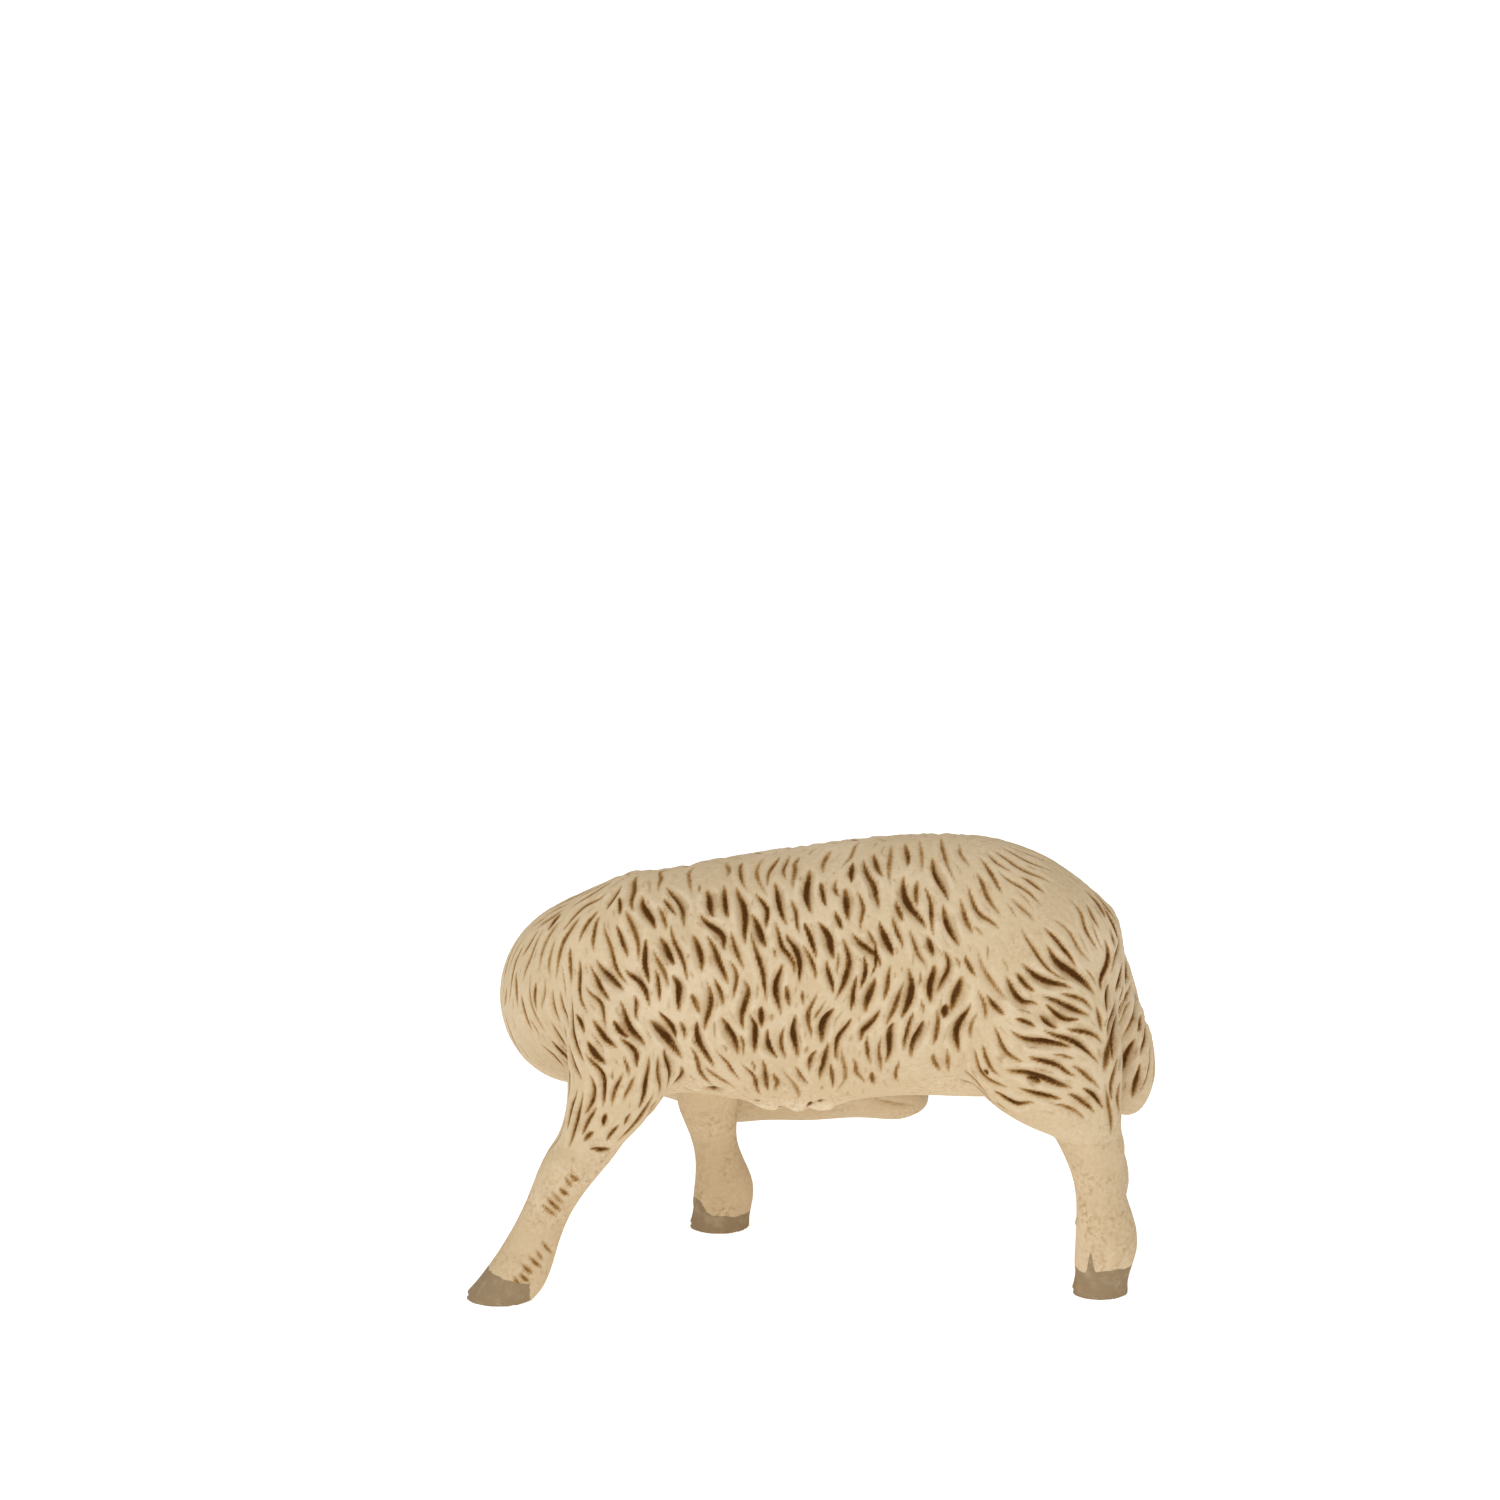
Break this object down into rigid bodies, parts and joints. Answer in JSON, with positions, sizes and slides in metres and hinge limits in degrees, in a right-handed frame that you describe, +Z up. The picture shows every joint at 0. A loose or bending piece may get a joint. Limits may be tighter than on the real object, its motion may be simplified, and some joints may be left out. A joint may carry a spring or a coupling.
{
  "type": "sheep figurine",
  "caption": "Small standing sheep ornament with a carved fleece, its neck bent round so that the head looks back along its far flank; stands on its hooves.",
  "frame": {"origin": "on the floor under the middle of the whole figure's bounding box", "axes": "+Z up; the chest points to -X and the rump to +X; the sheep's left side faces -Y and the turned head lies on the +Y side"},
  "size_m": [0.069, 0.0408, 0.0446],
  "materials": {
    "fleece": "matt cream cast resin with a brown wash left in the carved grooves",
    "face": "matt cream cast resin, smooth, with a thin brown wash",
    "leg": "matt cream cast resin with brown speckles; hooves painted taupe grey",
    "pin": "plain drawn wire"
  },
  "bodies": {
    "root": {"torso": "fleece", "neck": "fleece", "tail": "fleece", "head": "face", "ear_left": "face", "ear_right": "face", "foreleg_left": "leg", "foreleg_right": "leg", "hindleg_left": "leg", "hindleg_right": "leg", "neck_pin": "pin", "head_pin": "pin", "tail_pin": "pin", "ear_left_pin": "pin", "ear_right_pin": "pin", "foreleg_left_pin": "pin", "foreleg_right_pin": "pin", "hindleg_left_pin": "pin", "hindleg_right_pin": "pin"}
  },
  "joints": []
}
